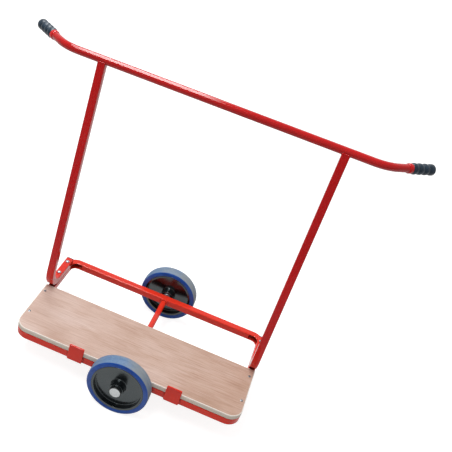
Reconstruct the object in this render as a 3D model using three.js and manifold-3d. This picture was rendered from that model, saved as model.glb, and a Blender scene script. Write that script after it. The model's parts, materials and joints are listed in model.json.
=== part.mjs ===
import * as THREE from 'three';
import { mergeVertices } from 'three/addons/utils/BufferGeometryUtils.js';
import Module from 'manifold-3d';

// Sheet goods cart. Millimetres and degrees, +Z up, loading side toward -Y, wheels stand on Z = 0.

// Seam between pieces that touch, also the running clearance round the axle.
const SEAM = 0.3;

// Square tube of the base frame and of both uprights.
const TUBE = 25;
const TUBE_WALL = 2;
const TUBE_EDGE = 3;

// Base frame: one closed loop of square tube, open behind the deck.
const FRAME_LENGTH = 770;
const FRAME_DEPTH = 450;
const FRAME_BEND = 45;
const OPEN_DEPTH = 213;

// Wheels, and the axle bar welded through the frame.
const WHEEL_DIAMETER = 205;
const WHEEL_WIDTH = 42;
const TYRE_THICKNESS = 16.5;
const TYRE_SHOULDER = 4;
const TYRE_BEAD = 1;
const RIM_BAND = 7.3;
const RIM_INSET = 0.5;
const RIM_DRAFT = 1;
const WEB_THICKNESS = 7;
const WEB_FILLET = 2;
const HUB_DIAMETER = 46;
const HUB_DRAFT = 2.3;
const HUB_PROUD = 7;
const BUSH_WALL = 4;
const BUSH_INSET = 1;
const AXLE_DIAMETER = 20;
const AXLE_CHAMFER = 1;
const SPACER_LENGTH = 5.4;
const SPACER_WALL = 5.7;
const AXLE_WASHER_WALL = 7.7;
const AXLE_WASHER_THICKNESS = 1.5;
const CAP_WALL = 9.2;
const CAP_LENGTH = 8;
const CAP_FACE = 2.5;
const CAP_ROUND = 2.5;

// Plywood deck and its screws.
const DECK_THICKNESS = 18;
const DECK_CORNER = 42;
const DECK_ARRIS = 3;
const SCREW_FRONT = 82;
const SCREW_REAR = 37;
const SCREW_DIAMETER = 5;
const SCREW_HEAD = 9.5;
const SCREW_SINK = 2.4;
const SCREW_DOME = 0.8;
const SCREW_REACH = 9;

// Stop tabs on the face of the front tube.
const TAB_WIDTH = 50;
const TAB_RISE = 17;
const TAB_THICKNESS = 5;
const TAB_CORNER = 3;
const TAB_SPACING = 332;
const TAB_WELD = 4;

// Uprights: foot on the side tube, bend, post leaning back to the bar.
const LEAN = 4.6;
const UPRIGHT_BEND = 75;
const DECK_CLEARANCE = 8;
const PLUG_FLANGE = 4;
const PLUG_INSERT = 12;

// Bolts through each foot.
const FOOT_BOLT_FRONT = 12;
const FOOT_BOLT_REAR = 24;
const BOLT_DIAMETER = 8;
const BOLT_HEAD = 14.5;
const BOLT_HEAD_HEIGHT = 4.4;
const BOLT_TAIL = 3;
const BOLT_WASHER = 17;
const BOLT_WASHER_THICKNESS = 1.6;
const NUT_ACROSS_FLATS = 13;
const NUT_HEIGHT = 6.5;

// Handlebar with swept ends, collars and grips.
const BAR_HEIGHT = 962.5;
const BAR_DIAMETER = 25;
const BAR_WALL = 2;
const BAR_OVERHANG = 65;
const BAR_BEND = 108;
const BAR_SWEEP = 41;
const BAR_TAIL = 130;
const COLLAR_WALL = 2.2;
const COLLAR_LENGTH = 14;
const COLLAR_EDGE = 1.5;
const GRIP_LENGTH = 86;
const GRIP_WALL = 4.2;
const GRIP_GROOVE = 3;
const GRIP_RIBS = 4;
const GRIP_END = 4;
const GRIP_ROUND = 5;

// Facets round a turned piece, by size, and steps along bends.
const FINE = 36;
const MEDIUM = 20;
const COARSE = 10;
const CORNER_STEPS = 3;
const BEND_STEPS = 10;
const SWEEP_STEPS = 6;
const RIB_STEPS = 4;

const RED = { color: 0xc9251f, roughness: 0.32, metalness: 0 };
const PLY = { color: 0xcfae9c, roughness: 0.65, metalness: 0 };
const BLUE = { color: 0x2b4a9b, roughness: 0.55, metalness: 0 };
const BLACK = { color: 0x1b1c1d, roughness: 0.25, metalness: 0 };
const GREY = { color: 0x343d45, roughness: 0.6, metalness: 0 };
const ZINC = { color: 0xc3c7ca, roughness: 0.3, metalness: 1 };
const BRONZE = { color: 0xa88a5a, roughness: 0.45, metalness: 1 };
const WHITE = { color: 0xe2e6e4, roughness: 0.35, metalness: 0 };

// Levels and stations that the pieces are set from.
const AXLE_Z = WHEEL_DIAMETER / 2;
const FRAME_BOTTOM = AXLE_Z - TUBE / 2;
const FRAME_TOP = AXLE_Z + TUBE / 2;
const FRONT_Y = -FRAME_DEPTH / 2;
const REAR_Y = FRAME_DEPTH / 2;
const SIDE_X = (FRAME_LENGTH - TUBE) / 2;
const DECK_BOTTOM = FRAME_TOP + SEAM;
const DECK_TOP = DECK_BOTTOM + DECK_THICKNESS;
const DECK_REAR_Y = REAR_Y - OPEN_DEPTH;
const FOOT_BOTTOM = FRAME_TOP + SEAM;
const FOOT_TOP = FOOT_BOTTOM + TUBE;
const FOOT_AXIS = FOOT_BOTTOM + TUBE / 2;
const FOOT_END_Y = REAR_Y - FRAME_BEND;
const TUBE_INSIDE = TUBE - 2 * TUBE_WALL;
const INSIDE_EDGE = Math.max(TUBE_EDGE - TUBE_WALL, SEAM);

// The bend's outside passes behind the deck's rear edge at deck height.
const BEND_OUTSIDE = UPRIGHT_BEND + TUBE / 2;
const BEND_REACH = Math.sqrt(BEND_OUTSIDE ** 2 - (BEND_OUTSIDE - DECK_THICKNESS) ** 2);
const BEND_Y = DECK_REAR_Y + DECK_CLEARANCE + BEND_REACH;
const BEND_Z = FOOT_AXIS + UPRIGHT_BEND;
const LEAN_ANGLE = THREE.MathUtils.degToRad(LEAN);
const POST_Y = BEND_Y - UPRIGHT_BEND * Math.cos(LEAN_ANGLE);
const POST_Z = BEND_Z + UPRIGHT_BEND * Math.sin(LEAN_ANGLE);
const BAR_Y = POST_Y + (BAR_HEIGHT - POST_Z) * Math.tan(LEAN_ANGLE);

const BAR_HALF = FRAME_LENGTH / 2 + BAR_OVERHANG;
const BAR_BORE = BAR_DIAMETER / 2 + SEAM;
const SWEEP_ANGLE = THREE.MathUtils.degToRad(BAR_SWEEP);
const GRIP_START = BAR_TAIL - GRIP_LENGTH + GRIP_END + SEAM;
const COLLAR_START = GRIP_START - SEAM - COLLAR_LENGTH;

// Distances outward along the axle from the frame's face.
const HUB_LENGTH = WHEEL_WIDTH + 2 * HUB_PROUD;
const HUB_START = SPACER_LENGTH + 2 * SEAM;
const HUB_END = HUB_START + HUB_LENGTH;
const WHEEL_CENTRE = HUB_START + HUB_LENGTH / 2;
const CAP_START = HUB_END + AXLE_WASHER_THICKNESS + 2 * SEAM;
const AXLE_REACH = CAP_START + CAP_LENGTH - CAP_FACE - SEAM;
const AXLE_BORE = AXLE_DIAMETER / 2 + SEAM;
const AXLE_WELD = (TUBE - AXLE_DIAMETER) / 2;
const BUSH_RADIUS = AXLE_BORE + BUSH_WALL;
const RIM_RADIUS = WHEEL_DIAMETER / 2 - TYRE_THICKNESS - SEAM;

const BOLT_BORE = BOLT_DIAMETER / 2 + SEAM;
const SCREW_BORE = SCREW_DIAMETER / 2 + SEAM;
const WASHER_LEVEL = FRAME_BOTTOM - SEAM - BOLT_WASHER_THICKNESS;
const NUT_LEVEL = WASHER_LEVEL - SEAM - NUT_HEIGHT;

const SIDES = [['left', -1], ['right', 1]];
const FOOT_BOLTS = [['front', BEND_Y + FOOT_BOLT_FRONT], ['rear', FOOT_END_Y - FOOT_BOLT_REAR]];
const DECK_SCREWS = [['front', FRONT_Y + SCREW_FRONT], ['rear', DECK_REAR_Y - SCREW_REAR]];

const wasm = await Module();
wasm.setup();

// Solid of a closed geometry: welded corners, no collapsed facets, facets facing out.
function solid(geometry) {
  const bare = geometry.clone();
  bare.deleteAttribute('normal');
  bare.deleteAttribute('uv');
  const welded = mergeVertices(bare, 1e-3);
  const place = welded.attributes.position;
  const corner = (index) => new THREE.Vector3().fromBufferAttribute(place, index);
  const facets = [];
  let volume = 0;
  for (let i = 0; i < welded.index.count; i += 3) {
    const [a, b, c] = [0, 1, 2].map((k) => welded.index.getX(i + k));
    if (a !== b && b !== c && c !== a) {
      facets.push([a, b, c]);
      volume += corner(a).dot(corner(b).cross(corner(c)));
    }
  }
  const outward = volume < 0 ? facets.map(([a, b, c]) => [a, c, b]) : facets;
  return new wasm.Manifold(new wasm.Mesh({
    numProp: 3,
    vertProperties: new Float32Array(place.array),
    triVerts: new Uint32Array(outward.flat()),
  }));
}

function skinOf(body) {
  const mesh = body.getMesh();
  const geometry = new THREE.BufferGeometry();
  geometry.setAttribute('position', new THREE.BufferAttribute(new Float32Array(mesh.vertProperties), 3));
  geometry.setIndex(new THREE.BufferAttribute(new Uint32Array(mesh.triVerts), 1));
  geometry.computeVertexNormals();
  return geometry;
}

function cut(geometry, cutters) {
  return skinOf(cutters.reduce((body, cutter) => body.subtract(solid(cutter)), solid(geometry)));
}

function join(geometries) {
  return skinOf(geometries.map(solid).reduce((body, other) => body.add(other)));
}

// Body turned round Y from [radius, y] points.
function turned(profile, facets) {
  return skinOf(solid(new THREE.LatheGeometry(profile.map(([r, y]) => new THREE.Vector2(r, y)), facets)));
}

// Quarter-round steps of a turned profile, angles measured from the radial direction.
function bow(radius, y, size, from, to, steps) {
  return Array.from({ length: steps + 1 }, (_, i) => {
    const angle = THREE.MathUtils.degToRad(from + ((to - from) * i) / steps);
    return [radius + size * Math.cos(angle), y + size * Math.sin(angle)];
  });
}

// Plain ring round Y, from y = 0 upward.
function ring(inner, outer, length, facets) {
  return turned([[inner, 0], [outer, 0], [outer, length], [inner, length], [inner, 0]], facets);
}

// Round cutter standing on a point, upward.
function drill(x, y, z, radius, length) {
  const geometry = new THREE.CylinderGeometry(radius, radius, length, COARSE);
  return geometry.rotateX(Math.PI / 2).translate(x, y, z + length / 2);
}

function roundedOutline(target, width, depth, radius) {
  const x = width / 2 - radius;
  const y = depth / 2 - radius;
  target.absarc(x, -y, radius, -Math.PI / 2, 0, false);
  target.absarc(x, y, radius, 0, Math.PI / 2, false);
  target.absarc(-x, y, radius, Math.PI / 2, Math.PI, false);
  target.absarc(-x, -y, radius, Math.PI, Math.PI * 1.5, false);
  target.closePath();
  return target;
}

function roundedShape(width, depth, radius) {
  return roundedOutline(new THREE.Shape(), width, depth, radius);
}

function slab(shape, depth, curveSegments) {
  return new THREE.ExtrudeGeometry(shape, { depth, bevelEnabled: false, curveSegments });
}

// Slab of a given full depth with its edges rounded or broken by a size.
function edgedSlab(shape, depth, edge, steps, curveSegments) {
  return new THREE.ExtrudeGeometry(shape, {
    depth: depth - 2 * edge,
    bevelEnabled: true,
    bevelThickness: edge,
    bevelSize: edge,
    bevelOffset: -edge,
    bevelSegments: steps,
    curveSegments,
  }).translate(0, 0, edge);
}

// Line whose stations lie only where a tube begins, ends or turns.
class BentLine extends THREE.Curve {
  constructor(stations) {
    super();
    this.stations = stations;
  }

  station(u) {
    return this.stations[Math.round(u * (this.stations.length - 1))];
  }

  getPoint(t, target = new THREE.Vector3()) {
    return target.copy(this.station(t).point);
  }

  getPointAt(u, target = new THREE.Vector3()) {
    return target.copy(this.station(u).point);
  }

  getTangentAt(u, target = new THREE.Vector3()) {
    return target.copy(this.station(u).along);
  }
}

// Stations of a bend that starts in one direction and turns toward another.
function bend(start, along, toward, radius, angle, steps) {
  return Array.from({ length: steps + 1 }, (_, i) => {
    const turn = (angle * i) / steps;
    const sine = Math.sin(turn);
    const cosine = Math.cos(turn);
    const point = start.clone().addScaledVector(along, radius * sine);
    point.addScaledVector(toward, radius * (1 - cosine));
    const heading = along.clone().multiplyScalar(cosine).addScaledVector(toward, sine);
    return { point, along: heading };
  });
}

function runFrom({ point, along }, distance) {
  return { point: point.clone().addScaledVector(along, distance), along };
}

function swept(section, stations, curveSegments) {
  return new THREE.ExtrudeGeometry(section, {
    steps: stations.length - 1,
    curveSegments,
    extrudePath: new BentLine(stations),
  });
}

function piece(name, geometry, finish) {
  const mesh = new THREE.Mesh(geometry, new THREE.MeshStandardMaterial(finish));
  mesh.name = name;
  return mesh;
}

// Loop of tube seen from above, inset all round.
function loopShape(inset) {
  const gap = 2 * (TUBE - inset);
  const shape = roundedShape(FRAME_LENGTH - 2 * inset, FRAME_DEPTH - 2 * inset, FRAME_BEND - inset);
  const inside = FRAME_BEND - TUBE + inset;
  shape.holes.push(roundedOutline(new THREE.Path(), FRAME_LENGTH - gap, FRAME_DEPTH - gap, inside));
  return shape;
}

// Hollow loop with rounded edges, bored for the axle, the foot bolts and the deck screws.
function frameGeometry() {
  const outside = edgedSlab(loopShape(0), TUBE, TUBE_EDGE, 2, CORNER_STEPS).translate(0, 0, -TUBE / 2);
  const hollow = slab(loopShape(TUBE_WALL), TUBE_INSIDE, CORNER_STEPS).translate(0, 0, -TUBE_INSIDE / 2);
  const axleBore = new THREE.CylinderGeometry(AXLE_BORE, AXLE_BORE, FRAME_DEPTH + TUBE, MEDIUM);
  const bores = SIDES.flatMap(([, side]) => [
    ...FOOT_BOLTS.map(([, y]) => drill(side * SIDE_X, y, -TUBE, BOLT_BORE, 2 * TUBE)),
    ...DECK_SCREWS.map(([, y]) => drill(side * SIDE_X, y, 0, SCREW_BORE, TUBE)),
  ]);
  return cut(outside, [hollow, axleBore, ...bores]);
}

// Round bar with a weld fillet where it leaves the inner face of each tube.
function axleGeometry() {
  const radius = AXLE_DIAMETER / 2;
  const weld = REAR_Y - TUBE - SEAM;
  const end = REAR_Y + AXLE_REACH;
  const rear = [
    [radius, weld - AXLE_WELD],
    [radius + AXLE_WELD, weld],
    [radius, weld],
    [radius, end - AXLE_CHAMFER],
    [radius - AXLE_CHAMFER, end],
    [0, end],
  ];
  const front = rear.map(([r, y]) => [r, -y]).reverse();
  return turned([...front, ...rear], MEDIUM);
}

// Countersunk screw pointing down, head rim at z = 0, or the hole it takes with a clearance.
function screwGeometry(clearance) {
  const shank = SCREW_DIAMETER / 2 + clearance;
  const head = SCREW_HEAD / 2 + clearance;
  const tip = -DECK_THICKNESS - SCREW_REACH;
  return turned([
    [0, tip - SCREW_DIAMETER / 2],
    [shank, tip + SCREW_DIAMETER / 2],
    [shank, -SCREW_SINK - clearance],
    [head, 0],
    [head, clearance],
    [0, SCREW_DOME + clearance],
  ], COARSE).rotateX(Math.PI / 2);
}

// Board flush with the frame, front corners rounded, rear corners square.
function deckGeometry() {
  const half = FRAME_LENGTH / 2;
  const centre = FRONT_Y + DECK_CORNER;
  const shape = new THREE.Shape();
  shape.moveTo(half, DECK_REAR_Y);
  shape.lineTo(-half, DECK_REAR_Y);
  shape.absarc(-half + DECK_CORNER, centre, DECK_CORNER, Math.PI, Math.PI * 1.5, false);
  shape.absarc(half - DECK_CORNER, centre, DECK_CORNER, -Math.PI / 2, 0, false);
  shape.closePath();
  const board = edgedSlab(shape, DECK_THICKNESS, DECK_ARRIS, 1, CORNER_STEPS + 1);
  const holes = SIDES.flatMap(([, side]) => DECK_SCREWS.map(
    ([, y]) => screwGeometry(SEAM).translate(side * SIDE_X, y, DECK_THICKNESS),
  ));
  return cut(board, holes);
}

// Plate standing on the tube's lower edge, with a weld bead down each side of it.
function tabGeometry() {
  const height = DECK_TOP + TAB_RISE - FRAME_BOTTOM;
  const plate = slab(roundedShape(TAB_WIDTH, height, TAB_CORNER), TAB_THICKNESS, 1);
  plate.translate(0, height / 2, 0).rotateX(Math.PI / 2);
  const beads = SIDES.map(([, side]) => {
    const root = side * (TAB_WIDTH / 2 - TAB_WELD / 2);
    const shape = new THREE.Shape();
    shape.moveTo(root, 0);
    shape.lineTo(side * (TAB_WIDTH / 2 + TAB_WELD), 0);
    shape.lineTo(root, -TAB_WELD);
    shape.closePath();
    return slab(shape, TUBE - 2 * TUBE_EDGE, 1).translate(0, 0, TUBE_EDGE);
  });
  return join([plate, ...beads]);
}

// Square tube: foot forward along the frame, bend up, post to the bar, coped under it.
function uprightGeometry() {
  const forward = new THREE.Vector3(0, -1, 0);
  const up = new THREE.Vector3(0, 0, 1);
  const heel = new THREE.Vector3(0, BEND_Y, FOOT_AXIS);
  const turn = bend(heel, forward, up, UPRIGHT_BEND, Math.PI / 2 + LEAN_ANGLE, BEND_STEPS);
  const post = (BAR_HEIGHT - POST_Z) / Math.cos(LEAN_ANGLE);
  const stations = [
    { point: new THREE.Vector3(0, FOOT_END_Y, FOOT_AXIS), along: forward },
    ...turn,
    runFrom(turn[BEND_STEPS], post),
  ];
  const section = roundedShape(TUBE, TUBE, TUBE_EDGE);
  section.holes.push(roundedOutline(new THREE.Path(), TUBE_INSIDE, TUBE_INSIDE, INSIDE_EDGE));
  const cope = new THREE.CylinderGeometry(BAR_BORE, BAR_BORE, 2 * TUBE, FINE);
  cope.rotateZ(Math.PI / 2).translate(0, BAR_Y, BAR_HEIGHT);
  const bores = FOOT_BOLTS.map(([, y]) => drill(0, y, FOOT_BOTTOM - TUBE, BOLT_BORE, 3 * TUBE));
  return cut(swept(section, stations, 1), [cope, ...bores]);
}

// Flange over the foot's open end, with a square insert reaching into it.
function plugGeometry() {
  const fit = TUBE_INSIDE - 2 * SEAM;
  const flange = slab(roundedShape(TUBE, TUBE, TUBE_EDGE), PLUG_FLANGE, 1);
  const insert = slab(roundedShape(fit, fit, INSIDE_EDGE), PLUG_INSERT + SEAM + PLUG_FLANGE / 2, 1);
  return join([flange, insert.translate(0, 0, -PLUG_INSERT - SEAM)]).rotateX(-Math.PI / 2);
}

// Button head seated at z = 0, shank down through foot and frame past the nut.
function boltGeometry() {
  const shank = BOLT_DIAMETER / 2;
  const tip = NUT_LEVEL - BOLT_TAIL - FOOT_TOP - SEAM;
  const dome = bow(BOLT_HEAD / 2 - BOLT_HEAD_HEIGHT, 0, BOLT_HEAD_HEIGHT, 0, 90, 3);
  return turned([[0, tip], [shank, tip], [shank, 0], ...dome, [0, BOLT_HEAD_HEIGHT]], COARSE)
    .rotateX(Math.PI / 2);
}

function nutGeometry() {
  const radius = NUT_ACROSS_FLATS / Math.sqrt(3);
  const corners = Array.from({ length: 6 }, (_, i) => {
    const angle = (i * Math.PI) / 3;
    return new THREE.Vector2(radius * Math.cos(angle), radius * Math.sin(angle));
  });
  const shape = new THREE.Shape(corners);
  const hole = new THREE.Path();
  hole.absarc(0, 0, BOLT_BORE, 0, 2 * Math.PI, false);
  shape.holes.push(hole);
  return slab(shape, NUT_HEIGHT, COARSE / 2);
}

// Bend at one end of the bar, in the bar's own plane: X along it, Y backward.
function sweep(side) {
  const start = new THREE.Vector3(side * BAR_HALF, 0, 0);
  const outward = new THREE.Vector3(side, 0, 0);
  return bend(start, outward, new THREE.Vector3(0, 1, 0), BAR_BEND, SWEEP_ANGLE, SWEEP_STEPS);
}

// Round tube, straight across both uprights, with both ends swept back.
function barGeometry() {
  const right = sweep(1);
  right.push(runFrom(right[SWEEP_STEPS], BAR_TAIL));
  const left = right.map(({ point, along }) => ({
    point: new THREE.Vector3(-point.x, point.y, point.z),
    along: new THREE.Vector3(along.x, -along.y, along.z),
  }));
  const section = new THREE.Shape();
  section.absarc(0, 0, BAR_DIAMETER / 2, 0, 2 * Math.PI, false);
  const hollow = new THREE.Path();
  hollow.absarc(0, 0, BAR_DIAMETER / 2 - BAR_WALL, 0, 2 * Math.PI, false);
  section.holes.push(hollow);
  return skinOf(solid(swept(section, [...left.reverse(), ...right], MEDIUM / 2)));
}

function collarGeometry() {
  const outer = BAR_BORE + COLLAR_WALL;
  return turned([
    [BAR_BORE, 0],
    [outer - COLLAR_EDGE, 0],
    [outer, COLLAR_EDGE],
    [outer, COLLAR_LENGTH],
    [BAR_BORE, COLLAR_LENGTH],
    [BAR_BORE, 0],
  ], MEDIUM);
}

// Soft sleeve with a closed end; the last of its raised ribs runs out to the end.
function gripGeometry() {
  const crest = BAR_BORE + GRIP_WALL;
  const groove = crest - GRIP_GROOVE;
  const depth = GRIP_LENGTH - GRIP_END;
  const steps = GRIP_RIBS * RIB_STEPS;
  const ribs = Array.from({ length: steps - RIB_STEPS / 2 + 1 }, (_, i) => {
    const swell = Math.abs(Math.sin((Math.PI * i) / RIB_STEPS));
    return [groove + GRIP_GROOVE * swell, (GRIP_LENGTH * i) / steps];
  });
  const end = bow(crest - GRIP_ROUND, GRIP_LENGTH - GRIP_ROUND, GRIP_ROUND, 0, 90, 3);
  return turned([[0, depth], [BAR_BORE, depth], [BAR_BORE, 0], ...ribs, ...end, [0, GRIP_LENGTH]], MEDIUM);
}

function tyreGeometry() {
  const half = WHEEL_WIDTH / 2;
  const inner = RIM_RADIUS + SEAM;
  const shoulder = WHEEL_DIAMETER / 2 - TYRE_SHOULDER;
  return turned([
    [inner, TYRE_BEAD - half],
    [inner + TYRE_BEAD, -half],
    ...bow(shoulder, TYRE_SHOULDER - half, TYRE_SHOULDER, -90, 0, 2),
    ...bow(shoulder, half - TYRE_SHOULDER, TYRE_SHOULDER, 0, 90, 2),
    [inner + TYRE_BEAD, half],
    [inner, half - TYRE_BEAD],
    [inner, TYRE_BEAD - half],
  ], FINE);
}

// Moulded rim: outer band, web recessed on both sides, tapered hub.
function rimGeometry() {
  const lip = RIM_RADIUS - RIM_BAND;
  const wide = WHEEL_WIDTH / 2 - RIM_INSET;
  const web = WEB_THICKNESS / 2;
  const root = HUB_DIAMETER / 2 + HUB_DRAFT;
  const foot = lip - RIM_DRAFT;
  const upper = [
    [RIM_RADIUS, wide],
    [lip, wide],
    [foot, web + WEB_FILLET],
    [foot - WEB_FILLET, web],
    [root + WEB_FILLET, web],
    [root, web + WEB_FILLET],
    [HUB_DIAMETER / 2, HUB_LENGTH / 2],
    [BUSH_RADIUS + SEAM, HUB_LENGTH / 2],
  ];
  const lower = upper.map(([r, y]) => [r, -y]).reverse();
  return turned([...lower, ...upper, lower[0]], FINE);
}

function capGeometry() {
  const outer = AXLE_BORE + CAP_WALL;
  const depth = CAP_LENGTH - CAP_FACE;
  const edge = bow(outer - CAP_ROUND, CAP_LENGTH - CAP_ROUND, CAP_ROUND, 0, 90, 2);
  const inside = [[0, depth], [AXLE_BORE, depth], [AXLE_BORE, 0]];
  return turned([...inside, [outer, 0], ...edge, [0, CAP_LENGTH]], MEDIUM);
}

const cart = new THREE.Group();

const frame = piece('base_frame', frameGeometry(), RED);
const axle = piece('axle_rod', axleGeometry(), RED);
const deck = piece('deck_board', deckGeometry(), PLY);
frame.position.z = AXLE_Z;
axle.position.z = AXLE_Z;
deck.position.z = DECK_BOTTOM;
cart.add(frame, axle, deck);

// Everything that stands on one side tube, and the stop tab on that half.
for (const [name, side] of SIDES) {
  const flank = new THREE.Group();
  flank.position.x = side * SIDE_X;
  const upright = piece(`${name}_upright`, uprightGeometry(), RED);
  const plug = piece(`${name}_foot_plug`, plugGeometry(), GREY);
  plug.position.set(0, FOOT_END_Y + SEAM, FOOT_AXIS);
  flank.add(upright, plug);
  for (const [place, y] of DECK_SCREWS) {
    const screw = piece(`${name}_${place}_deck_screw`, screwGeometry(0), ZINC);
    screw.position.set(0, y, DECK_TOP);
    flank.add(screw);
  }
  for (const [place, y] of FOOT_BOLTS) {
    const stack = new THREE.Group();
    const washerRing = ring(BOLT_BORE, BOLT_WASHER / 2, BOLT_WASHER_THICKNESS, COARSE);
    const bolt = piece(`${name}_${place}_foot_bolt`, boltGeometry(), ZINC);
    const washer = piece(`${name}_${place}_foot_washer`, washerRing.rotateX(Math.PI / 2), ZINC);
    const nut = piece(`${name}_${place}_foot_nut`, nutGeometry(), ZINC);
    stack.position.y = y;
    bolt.position.z = FOOT_TOP + SEAM;
    washer.position.z = WASHER_LEVEL;
    nut.position.z = NUT_LEVEL;
    stack.add(bolt, washer, nut);
    flank.add(stack);
  }
  const tab = piece(`${name}_stop_tab`, tabGeometry(), RED);
  tab.position.set((side * TAB_SPACING) / 2, FRONT_Y - SEAM, FRAME_BOTTOM);
  cart.add(flank, tab);
}

// The bar's plane is square to the uprights, so it dips toward the rear.
const handle = new THREE.Group();
handle.position.set(0, BAR_Y, BAR_HEIGHT);
handle.rotation.x = -LEAN_ANGLE;
handle.add(piece('handlebar', barGeometry(), RED));
for (const [name, side] of SIDES) {
  const tail = new THREE.Group();
  const collar = piece(`${name}_bar_collar`, collarGeometry(), RED);
  const grip = piece(`${name}_grip`, gripGeometry(), GREY);
  tail.position.copy(sweep(side)[SWEEP_STEPS].point);
  tail.rotation.z = -side * (Math.PI / 2 - SWEEP_ANGLE);
  collar.position.y = COLLAR_START;
  grip.position.y = GRIP_START;
  tail.add(collar, grip);
  handle.add(tail);
}
cart.add(handle);

// One wheel at each end of the axle, outward along the group's own +Y.
for (const [name, y, turn] of [['front', FRONT_Y, Math.PI], ['rear', REAR_Y, 0]]) {
  const end = new THREE.Group();
  end.position.set(0, y, AXLE_Z);
  end.rotation.z = turn;
  const bushRing = ring(AXLE_BORE, BUSH_RADIUS, HUB_LENGTH - 2 * BUSH_INSET, MEDIUM);
  const washerRing = ring(AXLE_BORE, AXLE_BORE + AXLE_WASHER_WALL, AXLE_WASHER_THICKNESS, MEDIUM);
  const spacerRing = ring(AXLE_BORE, AXLE_BORE + SPACER_WALL, SPACER_LENGTH, MEDIUM);
  const spacer = piece(`${name}_axle_spacer`, spacerRing, ZINC);
  const tyre = piece(`${name}_tyre`, tyreGeometry(), BLUE);
  const rim = piece(`${name}_rim`, rimGeometry(), BLACK);
  const bush = piece(`${name}_hub_bush`, bushRing, BRONZE);
  const washer = piece(`${name}_axle_washer`, washerRing, ZINC);
  const cap = piece(`${name}_axle_cap`, capGeometry(), WHITE);
  spacer.position.y = SEAM;
  tyre.position.y = WHEEL_CENTRE;
  rim.position.y = WHEEL_CENTRE;
  bush.position.y = HUB_START + BUSH_INSET;
  washer.position.y = HUB_END + SEAM;
  cap.position.y = CAP_START;
  end.add(spacer, tyre, rim, bush, washer, cap);
  cart.add(end);
}

export default cart;
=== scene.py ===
import json
import math

import bmesh
import bpy
from mathutils import Matrix, Vector

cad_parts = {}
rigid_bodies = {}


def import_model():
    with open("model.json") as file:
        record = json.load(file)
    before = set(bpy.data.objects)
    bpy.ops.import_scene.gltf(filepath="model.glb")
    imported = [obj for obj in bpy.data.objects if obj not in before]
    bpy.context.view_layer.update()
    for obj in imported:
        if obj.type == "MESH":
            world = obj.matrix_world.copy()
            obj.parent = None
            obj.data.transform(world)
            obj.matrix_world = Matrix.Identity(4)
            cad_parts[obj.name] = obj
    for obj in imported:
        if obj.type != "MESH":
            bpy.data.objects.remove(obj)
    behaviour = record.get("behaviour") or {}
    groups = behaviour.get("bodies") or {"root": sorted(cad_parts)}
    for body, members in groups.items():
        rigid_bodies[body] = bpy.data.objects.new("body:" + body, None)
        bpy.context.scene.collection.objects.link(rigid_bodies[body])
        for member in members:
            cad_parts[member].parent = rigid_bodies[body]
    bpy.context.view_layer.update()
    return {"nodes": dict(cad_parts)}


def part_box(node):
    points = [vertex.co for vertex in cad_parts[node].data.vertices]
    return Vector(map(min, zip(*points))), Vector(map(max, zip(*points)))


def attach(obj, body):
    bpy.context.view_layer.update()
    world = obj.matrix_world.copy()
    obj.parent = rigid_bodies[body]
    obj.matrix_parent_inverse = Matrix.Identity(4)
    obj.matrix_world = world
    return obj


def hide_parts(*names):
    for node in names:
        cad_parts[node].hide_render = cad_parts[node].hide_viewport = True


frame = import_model()

# Sheet goods cart, dressed in the part's own frame: metres, +Z up, loading side toward -Y.

# Sizes that the nodes' boxes don't give, as the part has them.
SEAM = 0.0003
TUBE_EDGE = 0.003
FRAME_BEND = 0.045
DECK_CORNER = 0.042
DECK_ARRIS = 0.003
DECK_CLEARANCE = 0.008
SCREW_RADIUS = 0.0025
TAB_THICKNESS = 0.005
TAB_CORNER = 0.003
TAB_WELD = 0.004
UPRIGHT_BEND = 0.075
LEAN = math.radians(4.6)
BOLT_RADIUS = 0.004
NUT_FLATS = 0.013
BAR_HEIGHT = 0.9625
BAR_OVERHANG = 0.065
BAR_BEND = 0.108
BAR_SWEEP = math.radians(41.0)
BAR_TAIL = 0.130
COLLAR_LENGTH = 0.014
COLLAR_WALL = 0.0022
GRIP_LENGTH = 0.086
GRIP_END = 0.004
GRIP_GROOVE = 0.003
GRIP_ROUND = 0.005
GRIP_RIBS = 4
AXLE_RADIUS = 0.010
AXLE_EDGE = 0.001
TYRE_THICKNESS = 0.0165
RIM_BAND = 0.0073
RIM_INSET = 0.0005
RIM_DRAFT = 0.001
WEB_HALF = 0.0035
HUB_RADIUS = 0.023
HUB_DRAFT = 0.0023
BUSH_WALL = 0.004

# Slightly less than the part has, so that the rounder shapes stay inside its box.
BAR_RADIUS = 0.01245
GRIP_WALL = 0.0041

# Sizes of detail that only this script has. A weld bead is (radius, pitch).
FRAME_DENT = 0.0170
DENT_EDGE = 0.65
DENT_LEAD = 0.009
DENT_RAMP = 0.004
AXLE_BEAD = (0.0036, 0.0058)
STOP_BEAD = (0.0026, 0.0046)
BAR_BEAD = (0.0019, 0.0044)
BEAD_RIPPLE = 0.13
BEAD_WAVER = 0.05
BEAD_TIP = 0.35
BEAD_TAPER = 0.4
DECK_REAR_CORNER = 0.003
SINK_DEPTH = 0.004
SINK_CONE = 0.0026
SINK_GAP = 0.0004
PILOT_RADIUS = 0.003
SCREW_TURN = 0.5
THREAD_LEAD = 0.0008
THREAD_DEPTH = 0.0005
HALF_PITCH = 0.000625
HALF_TURNS = 25
SOCKET_FLATS = 0.005
SOCKET_DEPTH = 0.0026
BOLT_SIDES = 48
MOULD_LINE = 0.0003
CAP_DISC = 0.0172
CAP_GROOVE = 0.0003
CAP_FACE = 0.0026

# Meshes: points closer than this are one, and edges are sharp from this angle in degrees.
MERGE_DISTANCE = 1e-7
SHARP = 40

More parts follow.
